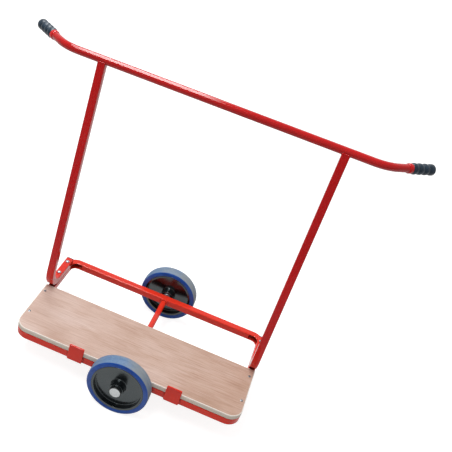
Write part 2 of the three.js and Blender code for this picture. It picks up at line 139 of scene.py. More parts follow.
# Stations that follow from the boxes.
FRAME_LO, FRAME_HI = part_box("base_frame")
DECK_LO, DECK_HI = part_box("deck_board")
FOOT_LO, FOOT_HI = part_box("left_upright")
TUBE = FRAME_HI.z - FRAME_LO.z
AXLE_Z = (FRAME_HI.z + FRAME_LO.z) / 2
SIDE_X = FRAME_HI.x - TUBE / 2
DECK_THICKNESS = DECK_HI.z - DECK_LO.z
FOOT_AXIS = FOOT_LO.z + TUBE / 2
BOLT_SEAT = FOOT_LO.z + TUBE + SEAM
BOLT_BORE = BOLT_RADIUS + SEAM
BEND_OUTSIDE = UPRIGHT_BEND + TUBE / 2
BEND_REACH = math.sqrt(BEND_OUTSIDE ** 2 - (BEND_OUTSIDE - DECK_THICKNESS) ** 2)
BEND_Y = DECK_HI.y + DECK_CLEARANCE + BEND_REACH
POST_Y = BEND_Y - UPRIGHT_BEND * math.cos(LEAN)
POST_Z = FOOT_AXIS + UPRIGHT_BEND * (1 + math.sin(LEAN))
BAR_Y = POST_Y + (BAR_HEIGHT - POST_Z) * math.tan(LEAN)
BAR_HALF = FRAME_HI.x + BAR_OVERHANG
SLEEVE_BORE = BAR_RADIUS + SEAM / 2
GRIP_START = BAR_TAIL - GRIP_LENGTH + GRIP_END + SEAM
COLLAR_START = GRIP_START - SEAM - COLLAR_LENGTH
AXLE_BORE = AXLE_RADIUS + SEAM
WHEEL_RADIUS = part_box("front_tyre")[1].z - AXLE_Z

# Where the looks change: heights and distances on the cart, among them where painted warm light fades out
# up the red and where a painted sheen lies on the tyre walls, and how deep a crevice reaches for painted
# shade.
WARMTH_LOW = FRAME_HI.z
WARMTH_HIGH = 0.27
PAINT_CREVICE = 0.020
GRIP_CREVICE = 0.006
CREVICE_RAYS = 8
PLY_LAYERS = 9.0
PLY_WANDER = 0.35
TREAD_START = 0.0022
TREAD_FULL = 0.0010
PAINTED_SHEEN_NEAR = 0.02
PAINTED_SHEEN_FAR = 0.085

# Stage. The camera turns by azimuth, elevation and roll, in degrees.
CAMERA_PLACE = (0.23765, -1.89742, 1.80791)
CAMERA_TURN = (7.597, 32.779, -17.639)
CAMERA_LENS = 59.308
CAMERA_SHIFT = (0.1079, -0.0091)
WORLD_FILL = 0.46
WORLD_BACK = 0.34
FLOOR_TONE = (184, 184, 183)
FLOOR_LIFT = 0.84
FLOOR_GLOSS = 0.50
FLOOR_NEAR = -0.35
FLOOR_FAR = -1.20
FLOOR_HALF = 9.0
SOFTBOX_PLACE = (-1.10, -0.1, 4.5)
SOFTBOX_SIZE = (1.1, 4.8)
SOFTBOX_POWER = 162.0
STRIP_PLACE = (-1.42, 0.2, 4.4)
STRIP_SIZE = (1.95, 5.6)
STRIP_POWER = 265.0

SIDES = (("left", -1), ("right", 1))
ENDS = (("front", -1), ("rear", 1))
PLACES = ("front", "rear")
X_AXIS = Vector((1, 0, 0))
Y_AXIS = Vector((0, 1, 0))
Z_AXIS = Vector((0, 0, 1))


# Outlines and profiles


def arc(centre, radius, start, end, steps):
    """Points of a flat arc, both ends included, angles in degrees."""
    spread = [math.radians(start + (end - start) * i / steps) for i in range(steps + 1)]
    return [(centre[0] + radius * math.cos(a), centre[1] + radius * math.sin(a)) for a in spread]


def circle(radius, count):
    """Points of a closed circle."""
    return [(radius * math.cos(math.tau * i / count), radius * math.sin(math.tau * i / count))
            for i in range(count)]


def rounded_box(width, height, radius, steps, along=1):
    """Closed outline of a rectangle with round corners, its sides split into even lengths."""
    x = width / 2 - radius
    y = height / 2 - radius
    corners = ((x, -y, -90), (x, y, 0), (-x, y, 90), (-x, -y, 180))
    out = []
    for i, (cx, cy, turn) in enumerate(corners):
        out.extend(arc((cx, cy), radius, turn, turn + 90, steps))
        nx, ny, next_turn = corners[(i + 1) % 4]
        ahead = arc((nx, ny), radius, next_turn, next_turn + 90, steps)[0]
        last = out[-1]
        for k in range(1, along):
            share = k / along
            out.append((last[0] + (ahead[0] - last[0]) * share, last[1] + (ahead[1] - last[1]) * share))
    return out


def eased(corners, steps=5, closed=False):
    """Profile whose corners (r, y, radius) are rounded by their radius."""
    points = [Vector(corner[:2]) for corner in corners]
    count = len(points)
    out = []
    for i, (_, _, radius) in enumerate(corners):
        here = points[i]
        if radius == 0 or (not closed and i in (0, count - 1)):
            out.append(tuple(here))
            continue
        back = (points[i - 1] - here).normalized()
        ahead = (points[(i + 1) % count] - here).normalized()
        half = back.angle(ahead) / 2
        reach = radius / math.tan(half)
        centre = here + (back + ahead).normalized() * (radius / math.sin(half))
        first = here + back * reach - centre
        last = here + ahead * reach - centre
        sweep = first.angle(last)
        turn = 1 if first.x * last.y - first.y * last.x > 0 else -1
        for k in range(steps + 1):
            angle = turn * sweep * k / steps
            spoke = Vector((first.x * math.cos(angle) - first.y * math.sin(angle),
                            first.x * math.sin(angle) + first.y * math.cos(angle)))
            out.append(tuple(centre + spoke))
    return out


def hexagon(across, count):
    """Radius of a hexagon's outline at each of a number of even angles."""
    sixth = math.pi / 3
    return [across / 2 / math.cos((math.tau * i / count) % sixth - sixth / 2) for i in range(count)]


def cross(reach, half_width, count):
    """Radius of a cross-shaped outline at each of a number of even angles."""
    quarter = math.pi / 2
    out = []
    for i in range(count):
        off = (math.tau * i / count + quarter / 2) % quarter - quarter / 2
        side = half_width / max(abs(math.sin(off)), 1e-6)
        out.append(min(reach / math.cos(off), side))
    return out


def polar(radii, y):
    """Ring of points round Y from one radius for each even angle."""
    step = math.tau / len(radii)
    return [Vector((r * math.cos(i * step), y, -r * math.sin(i * step))) for i, r in enumerate(radii)]


def turned(profile, count):
    """Rings round Y from (r, y) points."""
    return [polar([r] * count, y) for r, y in profile]


# Paths


def straight_on(station, distance):
    """Station further along the one given."""
    point, along = station
    return point + along * distance, along


def bent_on(station, normal, radius, angle, steps):
    """Stations of a flat bend that follows a station, without the station itself."""
    point, along = station
    inward = normal.cross(along) * math.copysign(1, angle)
    centre = point + inward * radius
    out = []
    for i in range(1, steps + 1):
        turn = Matrix.Rotation(angle * i / steps, 3, normal)
        out.append((centre + turn @ (point - centre), turn @ along))
    return out


def carried(section, stations, normal):
    """Rings of a section (across the normal, along it) carried over stations."""
    return [[point + along.cross(normal) * a + normal * b for a, b in section] for point, along in stations]


def bead_rings(path, up, bead, closed):
    """Rings of a laid weld bead, which swells and sinks along its path."""
    radius, pitch = bead
    count = len(path)
    rings = []
    run = 0.0
    for i, point in enumerate(path):
        before = path[i - 1] if closed or i else point
        after = path[(i + 1) % count] if closed or i < count - 1 else point
        along = (after - before).normalized()
        side = along.cross(up).normalized()
        lift = side.cross(along)
        ripple = BEAD_RIPPLE * math.sin(math.tau * run / pitch)
        waver = BEAD_WAVER * math.sin(11.3 * i)
        taper = 1.0 if closed else min(1.0, BEAD_TIP + BEAD_TAPER * min(i, count - 1 - i))
        section = circle(radius * (1 + ripple + waver), 10)
        rings.append([point + (side * a + lift * b) * taper for a, b in section])
        run += (after - point).length
    return rings


def upended(middle, turn=0.0):
    """Place of a piece turned round Y that stands up on Z at a point."""
    return Matrix.Translation(middle) @ Matrix.Rotation(turn, 4, "Z") @ Matrix.Rotation(math.pi / 2, 4, "X")


# Meshes


class Shell:
    """Points and faces of one piece while it is put together."""

    def __init__(self):
        self.points = []
        self.faces = []

    def loft(self, rings, loop=False, capped=True):
        """Skins rings of equally many points, as a loop or with closed ends."""
        count = len(rings[0])
        base = len(self.points)
        for ring in rings:
            self.points.extend(ring)
        pairs = len(rings) if loop else len(rings) - 1
        for k in range(pairs):
            low = base + k * count
            high = base + (k + 1) % len(rings) * count
            for i in range(count):
                j = (i + 1) % count
                self.faces.append((low + i, low + j, high + j, high + i))
        if capped and not loop:
            self.faces.append(tuple(reversed(range(base, base + count))))
            last = base + (len(rings) - 1) * count
            self.faces.append(tuple(range(last, last + count)))
        return self

    def add(self, other):
        """Takes in the points and faces of another shell."""
        base = len(self.points)
        self.points.extend(other.points)
        self.faces.extend(tuple(base + i for i in face) for face in other.faces)

    def place(self, matrix):
        self.points = [matrix @ Vector(point) for point in self.points]
        return self

    def mesh(self, name, sharp=SHARP):
        """Mesh of the shell, its doubles merged and its faces turned outward."""
        mesh = bpy.data.meshes.new(name)
        mesh.from_pydata([tuple(point) for point in self.points], [], self.faces)
        work = bmesh.new()
        work.from_mesh(mesh)
        bmesh.ops.remove_doubles(work, verts=work.verts, dist=MERGE_DISTANCE)
        bmesh.ops.recalc_face_normals(work, faces=work.faces)
        work.to_mesh(mesh)
        work.free()
        smooth(mesh, sharp)
        return mesh


def smooth(mesh, sharp):
    """Smooth shading up to an angle, with the flat many-sided faces left flat."""
    mesh.shade_smooth()
    mesh.set_sharp_from_angle(angle=math.radians(sharp))
    for face in mesh.polygons:
        if len(face.vertices) > 4:
            face.use_smooth = False


def add_piece(name, mesh, look, body="frame", stands_for=()):
    """Links a mesh as a piece that rides on a body and stands for CAD nodes."""
    piece = bpy.data.objects.new(name, mesh)
    bpy.context.scene.collection.objects.link(piece)
    mesh.materials.append(look)
    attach(piece, body)
    if stands_for:
        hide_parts(*stands_for)
    return piece


def carve(mesh, cutter_mesh):
    """Mesh with the cutter's volume taken out of it."""
    scene = bpy.context.scene.collection.objects
    body = bpy.data.objects.new("carved", mesh)
    cutter = bpy.data.objects.new("cutter", cutter_mesh)
    scene.link(body)
    scene.link(cutter)
    step = body.modifiers.new("carve", "BOOLEAN")
    step.object = cutter
    step.solver = "EXACT"
    bpy.context.view_layer.update()
    result = bpy.data.meshes.new_from_object(body.evaluated_get(bpy.context.evaluated_depsgraph_get()))
    bpy.data.objects.remove(body)
    bpy.data.objects.remove(cutter)
    return result


# Materials


def srgb(red, green, blue):
    """Linear colour of an 8-bit screen colour."""
    def linear(value):
        value /= 255
        return value / 12.92 if value <= 0.04045 else ((value + 0.055) / 1.055) ** 2.4
    return linear(red), linear(green), linear(blue), 1.0


class Nodes:
    """Helpers that grow one node tree."""

    def __init__(self, tree):
        self.tree = tree

    def feed(self, socket, value):
        if isinstance(value, bpy.types.NodeSocket):
            self.tree.links.new(value, socket)
        else:
            socket.default_value = value

    def node(self, kind, inputs, **options):
        node = self.tree.nodes.new(kind)
        for option, value in options.items():
            setattr(node, option, value)
        for socket, value in inputs.items():
            self.feed(node.inputs[socket], value)
        return node

    def span(self, factor, low, high, to_low, to_high):
        """Factor remapped from one range to another and held inside it."""
        inputs = {"Value": factor, "From Min": low, "From Max": high, "To Min": to_low, "To Max": to_high}
        return self.node("ShaderNodeMapRange", inputs).outputs["Result"]

    def mix(self, factor, first, second):
        node = self.node("ShaderNodeMix", {0: factor, 6: first, 7: second}, data_type="RGBA")
        return node.outputs[2]

    def math(self, operation, first, second=0.0):
        return self.node("ShaderNodeMath", {0: first, 1: second}, operation=operation).outputs[0]

    def axis(self, vector, index):
        return self.node("ShaderNodeSeparateXYZ", {0: vector}).outputs[index]

    def ray(self, *kinds):
        """1 on rays of any of these kinds, 0 on others."""
        path = self.node("ShaderNodeLightPath", {}).outputs
        found = path[f"Is {kinds[0]} Ray"]
        for kind in kinds[1:]:
            found = self.math("MAXIMUM", found, path[f"Is {kind} Ray"])
        return found


class Look(Nodes):
    """One procedural material on a Principled shader."""

    def __init__(self, name, **sockets):
        self.material = bpy.data.materials.new(name)
        self.material.use_nodes = True
        super().__init__(self.material.node_tree)
        self.shader = self.tree.nodes["Principled BSDF"]
        self.place = self.tree.nodes.new("ShaderNodeTexCoord").outputs["Object"]
        for socket, value in sockets.items():
            self.set(socket.replace("_", " "), value)

    def set(self, socket, value):
        self.feed(self.shader.inputs[socket], value)

    def stretch(self, x, y, z, vector=None):
        inputs = {"Vector": vector or self.place, "Scale": (x, y, z)}
        return self.node("ShaderNodeMapping", inputs).outputs["Vector"]

    def noise(self, scale, detail=3.0, roughness=0.55, vector=None):
        inputs = {"Vector": vector or self.place, "Scale": scale, "Detail": detail, "Roughness": roughness}
        return self.node("ShaderNodeTexNoise", inputs).outputs["Fac"]

    def ramp(self, factor, *stops):
        node = self.node("ShaderNodeValToRGB", {"Fac": factor})
        band = node.color_ramp.elements
        while len(band) < len(stops):
            band.new(1.0)
        for element, (position, colour) in zip(band, stops):
            element.position = position
            element.color = colour
        return node.outputs["Color"]

    def from_axle(self):
        """Distance of a point from the axle's centre line."""
        inputs = {0: self.place, 1: (0.0, 0.0, AXLE_Z)}
        centred = self.node("ShaderNodeVectorMath", inputs, operation="SUBTRACT")
        flat = self.stretch(1.0, 0.0, 1.0, centred.outputs["Vector"])
        return self.node("ShaderNodeVectorMath", {0: flat}, operation="LENGTH").outputs["Value"]

    def shut_in(self, reach, low, high, most):
        """Rises to most where other surfaces within reach close in on a point; the looks use it to paint
        shade into crevices.
        """
        air = self.node("ShaderNodeAmbientOcclusion", {"Distance": reach}, samples=CREVICE_RAYS)
        return self.span(air.outputs["AO"], low, high, most, 0.0)

    def bump(self, *layers):
        """Normal from (height, strength, distance) layers laid on each other."""
        normal = None
        for height, strength, distance in layers:
            inputs = {"Height": height, "Strength": strength, "Distance": distance}
            if normal:
                inputs["Normal"] = normal
            normal = self.node("ShaderNodeBump", inputs).outputs["Normal"]
        self.set("Normal", normal)


def red_paint(name, tones, gloss):
    """Glossy powder coat: orange peel, rubbed marks, painted shade in the bend dents, grime and painted
    shade in crevices, and painted warm light that makes it more orange low down.
    """
    look = Look(name, Specular_IOR_Level=gloss)
    drift = look.noise(5.0, 2.0)
    rubbed = look.noise(24.0, 8.0, 0.68)
    peel = look.noise(420.0, 1.0)
    deep = look.ramp(drift, *zip((0.3, 0.7), tones))
    # Painted warm light: low down, the red turns to a warmer, more orange copy of itself.
    warm = look.ramp(drift, (0.3, srgb(226, 49, 33)), (0.7, srgb(237, 57, 38)))
    tone_with_painted_warmth = look.mix(look.span(look.axis(look.place, 2), WARMTH_LOW, WARMTH_HIGH, 0.0, 1.0), warm, deep)
    worn = look.mix(look.span(rubbed, 0.62, 0.80, 0.0, 0.30), tone_with_painted_warmth, srgb(216, 58, 44))
    # Painted shade: the red darkens in the pressed-in bend dents and where other surfaces close in at
    # joints, which is partly grime.
    fold = look.node("ShaderNodeAttribute", {}, attribute_name="fold").outputs["Fac"]
    shade_in_dents = look.span(fold, 0.30, 0.75, 0.0, 0.80)
    grime_and_shade_in_joints = look.shut_in(PAINT_CREVICE, 0.30, 0.88, 0.85)
    grime_and_painted_shade = look.math("MAXIMUM", shade_in_dents, grime_and_shade_in_joints)
    look.set("Base Color", look.mix(grime_and_painted_shade, worn, srgb(52, 8, 8)))
    look.set("Roughness", look.span(rubbed, 0.40, 0.80, 0.06, 0.20))
    look.bump((peel, 0.008, 0.0004))
    return look.material


def plywood():
    """Rotary-cut face veneer with long grain and painted light that falls off to the right, a pale arris
    that is part the wood's own sanding and part painted highlight, and ply layers on the edges.
    """
    look = Look("birch_plywood", Specular_IOR_Level=0.18)
    facing = look.axis(look.node("ShaderNodeNewGeometry", {}).outputs["Normal"], 2)
    level = look.math("ABSOLUTE", facing)
    patch = look.noise(1.0, 3.0, 0.55, look.stretch(6.0, 15.0, 6.0))
    streak = look.noise(1.0, 7.0, 0.66, look.stretch(8.0, 210.0, 60.0))
    line = look.noise(1.0, 4.0, 0.6, look.stretch(14.0, 520.0, 90.0))
    pore = look.noise(1.0, 3.0, 0.6, look.stretch(70.0, 1500.0, 200.0))
    # Painted light: the face is paler and pinker to the left and tanner and darker to the right, as the
    # light falls off across the deck.
    across = look.span(look.axis(look.place, 0), DECK_LO.x, DECK_HI.x, 0.0, 1.0)
    stops = (0.28, 0.50, 0.72)
    painted_lit_left = look.ramp(patch, *zip(stops, (srgb(198, 166, 151), srgb(213, 186, 173), srgb(222, 199, 189))))
    painted_dim_right = look.ramp(patch, *zip(stops, (srgb(180, 142, 120), srgb(197, 162, 143), srgb(208, 177, 161))))
    tone_with_painted_falloff = look.mix(across, painted_lit_left, painted_dim_right)
    veins_with_painted_falloff = look.mix(across, srgb(186, 149, 130), srgb(160, 121, 98))
    grained = look.mix(look.span(streak, 0.46, 0.68, 0.0, 0.60), tone_with_painted_falloff, veins_with_painted_falloff)
    pale = look.mix(look.span(line, 0.52, 0.72, 0.0, 0.45), grained, srgb(228, 206, 196))
    face = look.mix(look.span(pore, 0.60, 0.74, 0.0, 0.45), pale, srgb(150, 113, 93))
    height = look.math("SUBTRACT", look.axis(look.place, 2), DECK_LO.z)
    wander = look.noise(1.0, 2.0, 0.5, look.stretch(25.0, 25.0, 90.0))
    lifted = look.math("ADD", look.math("MULTIPLY", height, PLY_LAYERS / DECK_THICKNESS),
                       look.math("MULTIPLY", wander, PLY_WANDER))
    layer = look.math("PINGPONG", lifted, 1.0)
    glue = (0.14, srgb(192, 172, 150))
    plies = look.ramp(layer, glue, (0.32, srgb(230, 218, 203)), (0.8, srgb(240, 231, 218)))
    fibre = look.noise(1.0, 4.0, 0.6, look.stretch(400.0, 400.0, 60.0))
    cut_face = look.mix(look.span(fibre, 0.55, 0.8, 0.0, 0.4), plies, srgb(178, 160, 136))
    # The arris is pale partly from sanding and partly as a painted highlight.
    sanding_and_highlight = look.ramp(fibre, (0.3, srgb(236, 224, 213)), (0.7, srgb(247, 240, 231)))
    edge = look.mix(look.span(level, 0.12, 0.40, 0.0, 1.0), cut_face, sanding_and_highlight)
    look.set("Base Color", look.mix(look.span(level, 0.965, 0.996, 0.0, 1.0), edge, face))
    look.set("Roughness", look.span(streak, 0.3, 0.8, 0.50, 0.70))
    ridges = look.math("MULTIPLY", layer, look.span(level, 0.12, 0.40, 1.0, 0.0))
    look.bump((streak, 0.10, 0.0006), (pore, 0.08, 0.0003), (ridges, 0.15, 0.0005))
    return look.material


def tyre_rubber():
    """Blue cast rubber, its tread scuffed pale, its walls with a painted pale sheen at the axle's height
    and with faint turning lines.
    """
    look = Look("blue_tyre_rubber", Specular_IOR_Level=0.28)
    radius = look.from_axle()
    tread = look.span(radius, WHEEL_RADIUS - TREAD_START, WHEEL_RADIUS - TREAD_FULL, 0.0, 1.0)
    cloud = look.noise(40.0, 4.0)
    dust = look.noise(150.0, 6.0, 0.68)
    smear = look.noise(9.0, 3.0)
    turning = look.node("ShaderNodeCombineXYZ", {0: look.math("MULTIPLY", radius, 900.0)}).outputs[0]
    lines = look.noise(1.0, 3.0, 0.6, turning)
    wall = look.ramp(cloud, (0.3, srgb(12, 64, 152)), (0.7, srgb(24, 84, 176)))
    scuffed = look.ramp(dust, (0.30, srgb(84, 118, 160)), (0.70, srgb(116, 145, 178)))
    # Random smears, and more grey towards the tyre's own +X.
    smears_greyer_to_plus_x = look.math("ADD", smear, look.span(look.axis(look.place, 0), 0.0, WHEEL_RADIUS, 0.0, 0.22))
    greyed = look.mix(look.span(smears_greyer_to_plus_x, 0.46, 0.70, 0.0, 0.80), scuffed, srgb(146, 151, 152))
    # Painted sheen: the walls turn paler in a band at the axle's height, a band that turns with the wheel.
    level = look.math("ABSOLUTE", look.math("SUBTRACT", look.axis(look.place, 2), AXLE_Z))
    wall_with_painted_sheen = look.mix(look.span(level, PAINTED_SHEEN_NEAR, PAINTED_SHEEN_FAR, 0.13, 0.0), wall, srgb(150, 156, 168))
    look.set("Base Color", look.mix(tread, wall_with_painted_sheen, greyed))
    look.set("Roughness", look.span(look.math("ADD", dust, tread), 0.3, 1.5, 0.30, 0.62))
    look.bump((lines, 0.08, 0.0004), (dust, 0.08, 0.0003))
    return look.material


def rim_plastic():
    """Glossy black moulding with flow marks and a little dust."""
    look = Look("black_rim_plastic", IOR=1.80, Specular_Tint=(0.86, 0.97, 1.0, 1.0))
    flow = look.noise(28.0, 4.0)
    dust = look.noise(260.0, 6.0, 0.7)
    dark = look.ramp(flow, (0.3, srgb(10, 12, 14)), (0.7, srgb(17, 20, 23)))
    look.set("Base Color", look.mix(look.span(dust, 0.64, 0.85, 0.0, 0.25), dark, srgb(92, 94, 92)))
    look.set("Roughness", look.span(flow, 0.3, 0.7, 0.14, 0.24))
    look.bump((look.noise(170.0, 2.0), 0.03, 0.0005))
    return look.material


def cap_plastic():
    """Moulded cap: dark cup with a pale satin disc let into its face."""
    look = Look("axle_cap_plastic")
    cloud = look.noise(90.0, 3.0)
    grain = look.noise(900.0, 2.0)
    disc = look.ramp(cloud, (0.3, srgb(232, 239, 239)), (0.7, srgb(244, 248, 248)))
    cup = look.ramp(cloud, (0.3, srgb(18, 20, 22)), (0.7, srgb(30, 33, 35)))
    outside = look.span(look.from_axle(), CAP_DISC, CAP_DISC + CAP_GROOVE, 0.0, 1.0)
    look.set("Base Color", look.mix(outside, disc, cup))
    look.set("Roughness", look.span(cloud, 0.3, 0.7, 0.24, 0.40))
    look.bump((grain, 0.06, 0.0003))
    return look.material


def grip_rubber():
    """Slate rubber with a fine leathery skin, handled, paler patches and painted shade in the grooves."""
    look = Look("slate_grip_rubber", Specular_IOR_Level=0.34)
    cloud = look.noise(55.0, 4.0)
    grain = look.noise(800.0, 3.0)
    handled = look.ramp(cloud, (0.3, srgb(24, 38, 50)), (0.7, srgb(38, 57, 74)))
    # Painted shade: the rubber darkens in the grooves, where the ribs close in.
    shade_in_grooves = look.shut_in(GRIP_CREVICE, 0.50, 0.95, 0.85)
    look.set("Base Color", look.mix(shade_in_grooves, handled, srgb(10, 15, 18)))
    look.set("Roughness", look.span(cloud, 0.3, 0.7, 0.28, 0.42))
    look.bump((grain, 0.12, 0.0004))
    return look.material


def zinc_steel(name, tones):
    """Zinc-plated steel in three tones: clouded and faintly brushed."""
    look = Look(name, Metallic=1.0)
    cloud = look.noise(160.0, 4.0)
    brushed = look.noise(1.0, 3.0, 0.6, look.stretch(300.0, 2600.0, 2600.0))
    look.set("Base Color", look.ramp(cloud, *zip((0.3, 0.55, 0.8), tones)))
    look.set("Roughness", look.span(brushed, 0.3, 0.7, 0.20, 0.38))
    look.bump((brushed, 0.05, 0.0002))
    return look.material


def plug_plastic():
    """Dark moulded end plug with a fine spark-eroded grain."""
    look = Look("dark_plug_plastic")
    cloud = look.noise(120.0, 3.0)
    grain = look.noise(1100.0, 2.0)
    look.set("Base Color", look.ramp(cloud, (0.3, srgb(36, 42, 47)), (0.7, srgb(54, 61, 66))))
    look.set("Roughness", look.span(cloud, 0.3, 0.7, 0.40, 0.58))
    look.bump((grain, 0.18, 0.0003))
    return look.material


def bush_bronze():
    """Sintered bronze bush, oily and speckled."""
    look = Look("sintered_bronze", Metallic=1.0)
    speck = look.noise(1400.0, 3.0)
    cloud = look.noise(110.0, 3.0)
    oily = look.span(speck, 0.5, 0.7, 0.0, 0.6)
    look.set("Base Color", look.mix(oily, srgb(170, 140, 92), srgb(96, 78, 52)))
    look.set("Roughness", look.span(cloud, 0.3, 0.7, 0.34, 0.55))
    look.bump((speck, 0.15, 0.0002))
    return look.material


def floor_paint():
    """Pale floor, white to the camera and in reflections near the cart, that keeps the shadow."""
    look = Look("pale_floor", Roughness=0.9, Specular_IOR_Level=0.0)
    near = look.span(look.axis(look.place, 1), FLOOR_FAR, FLOOR_NEAR, 0.0, FLOOR_GLOSS)
    seen = look.math("MULTIPLY", look.ray("Camera", "Transmission"), FLOOR_LIFT)
    mirrored = look.math("MULTIPLY", look.ray("Glossy"), near)
    look.set("Base Color", srgb(*FLOOR_TONE))
    look.set("Emission Color", (1.0, 1.0, 1.0, 1.0))
    look.set("Emission Strength", look.math("MAXIMUM", seen, mirrored))
    return look.material


# Frame, axle and deck


def frame_loop(red):
    """Closed loop of square tube; the bends' inner wall is pressed in, as bending leaves it."""
    half = TUBE / 2
    radius = FRAME_BEND - half
    flat_x = FRAME_HI.x - FRAME_BEND
    flat_y = FRAME_HI.y - FRAME_BEND
    flat = DENT_LEAD + DENT_RAMP
    bend_steps = 22
    station = (Vector((-flat_x, FRAME_LO.y + half, AXLE_Z)), X_AXIS)
    stations = []
    dents = []
    for run in (2 * flat_x, 2 * flat_y, 2 * flat_x, 2 * flat_y):
        far = straight_on(station, run)
        turn = bent_on(far, Z_AXIS, radius, math.pi / 2, bend_steps)
        marks = ((0.0, DENT_EDGE), (DENT_LEAD, DENT_EDGE), (flat, 0.0), (run - flat, 0.0),
                 (run - DENT_LEAD, DENT_EDGE), (run, DENT_EDGE))
        stations.extend(straight_on(station, distance) for distance, _ in marks)
        stations.extend(turn[:-1])
        dents.extend(dent for _, dent in marks)
        dents.extend(DENT_EDGE + (1 - DENT_EDGE) * math.sin(math.pi * i / bend_steps) ** 0.5
                     for i in range(1, bend_steps))
        station = turn[-1]
    section = rounded_box(TUBE, TUBE, TUBE_EDGE, 6, along=10)
    rings = []
    folds = []
    for (point, along), dent in zip(stations, dents):
        ring = []
        for a, b in section:
            inner = max(0.0, (-a - half + 2 * TUBE_EDGE) / (2 * TUBE_EDGE))
            pressed = max(0.0, math.cos(math.pi * b / (TUBE - TUBE_EDGE))) ** 0.8
            folds.append(dent * inner * pressed)
            ring.append(point + along.cross(Z_AXIS) * (a + FRAME_DENT * folds[-1]) + Z_AXIS * b)
        rings.append(ring)
    mesh = Shell().loft(rings, loop=True).mesh("frame_tube_loop", sharp=50)
    # The red paint reads these fold weights to paint shade into the dents.
    mesh.attributes.new("fold", "FLOAT", "POINT").data.foreach_set("value", folds)
    add_piece("frame_tube_loop", mesh, red, stands_for=["base_frame"])


def axle_bar(red):
    """Rod with eased ends, and the bead laid round it on each long tube's inner wall."""
    lo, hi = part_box("axle_rod")
    corners = [(0, lo.y, 0), (AXLE_RADIUS, lo.y, AXLE_EDGE), (AXLE_RADIUS, hi.y, AXLE_EDGE), (0, hi.y, 0)]
    shell = Shell().loft(turned(eased(corners, 4), 48), capped=False)
    shell.place(Matrix.Translation((0, 0, AXLE_Z)))
    add_piece("axle_bar", shell.mesh("axle_bar"), red, stands_for=["axle_rod"])
    off_wall = 0.0010
    off_rod = 0.0012
    inner = FRAME_HI.y - TUBE
    for end, sign in ENDS:
        y = sign * (inner - off_wall)
        path = [Vector((x, y, AXLE_Z + z)) for x, z in circle(AXLE_RADIUS + off_rod, 90)]
        weld = Shell().loft(bead_rings(path, Y_AXIS, AXLE_BEAD, True), loop=True)
        add_piece(f"{end}_axle_weld", weld.mesh(f"{end}_axle_weld", sharp=60), red)


def screw_sink(screw):
    """Cutter for one countersunk hole, a little wider than the screw's head."""
    lo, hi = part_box(screw)
    head = (hi.x - lo.x) / 2 + SINK_GAP
    profile = [(0, -SINK_DEPTH), (PILOT_RADIUS, -SINK_DEPTH), (PILOT_RADIUS, -SINK_CONE), (head, 0.0),
               (head, SINK_DEPTH), (0, SINK_DEPTH)]
    middle = ((lo.x + hi.x) / 2, (lo.y + hi.y) / 2, DECK_HI.z)
    return Shell().loft(turned(profile, 40), capped=False).place(upended(middle))


def deck_panel(ply):
    """Board with eased edges and rounded front corners, sunk for its screws."""
    half = DECK_HI.x
    corner = (half - DECK_CORNER, DECK_LO.y + DECK_CORNER)

    def outline(inset):
        radius = DECK_CORNER - inset
        rear = DECK_REAR_CORNER - inset
        side = half - inset
        back = DECK_HI.y - inset
        front_right = arc(corner, radius, -90, 0, 24)
        front_left = arc((-corner[0], corner[1]), radius, 180, 270, 24)
        rear_right = arc((side - rear, back - rear), rear, 0, 90, 6)
        rear_left = arc((rear - side, back - rear), rear, 90, 180, 6)
        return front_right + rear_right + rear_left + front_left

    turns = [math.radians(angle) for angle in (0, 18, 36, 54, 72, 90)]
    levels = [(DECK_ARRIS * (1 - math.sin(a)), DECK_ARRIS * (1 - math.cos(a))) for a in turns]
    lower = [(inset, DECK_LO.z + lift) for inset, lift in levels]
    upper = [(inset, DECK_HI.z - lift) for inset, lift in reversed(levels)]
    rings = [[Vector((x, y, z)) for x, y in outline(inset)] for inset, z in lower + upper]
    board = Shell().loft(rings).mesh("deck_panel")
    sinks = Shell()
    for side, _ in SIDES:
        for place in PLACES:
            sinks.add(screw_sink(f"{side}_{place}_deck_screw"))
    carved = carve(board, sinks.mesh("screw_sinks", sharp=30))
    smooth(carved, SHARP)
    add_piece("deck_panel", carved, ply, stands_for=["deck_board"])


def deck_screw(name, zinc):
    """Countersunk screw with a cross recess in its slightly domed head."""
    lo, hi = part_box(name)
    rim = (hi.x - lo.x) / 2
    dome = hi.z - DECK_HI.z
    tip = lo.z - DECK_HI.z
    tip_length = 0.005
    recess_depth = 0.0021
    count = 64
    recess = cross(0.0027, 0.0006, count)
    small = cross(0.0012, 0.0004, count)
    rings = turned([(0, tip), (SCREW_RADIUS, tip + tip_length), (SCREW_RADIUS, -SINK_CONE)], count)
    rings += turned(eased([(SCREW_RADIUS, -SINK_CONE, 0), (rim, 0.0, 0.0002),
                           (rim * 0.93, dome * 0.45, 0.0004), (0.0031, dome, 0)], 4), count)
    rings += [polar(recess, dome), polar([0.9 * r for r in recess], dome - 0.0003),
              polar(small, dome - recess_depth)]
    middle = ((lo.x + hi.x) / 2, (lo.y + hi.y) / 2, DECK_HI.z)
    shell = Shell().loft(rings).place(upended(middle, SCREW_TURN))
    add_piece(f"{name}_cross", shell.mesh(name, sharp=35), zinc, stands_for=[name])


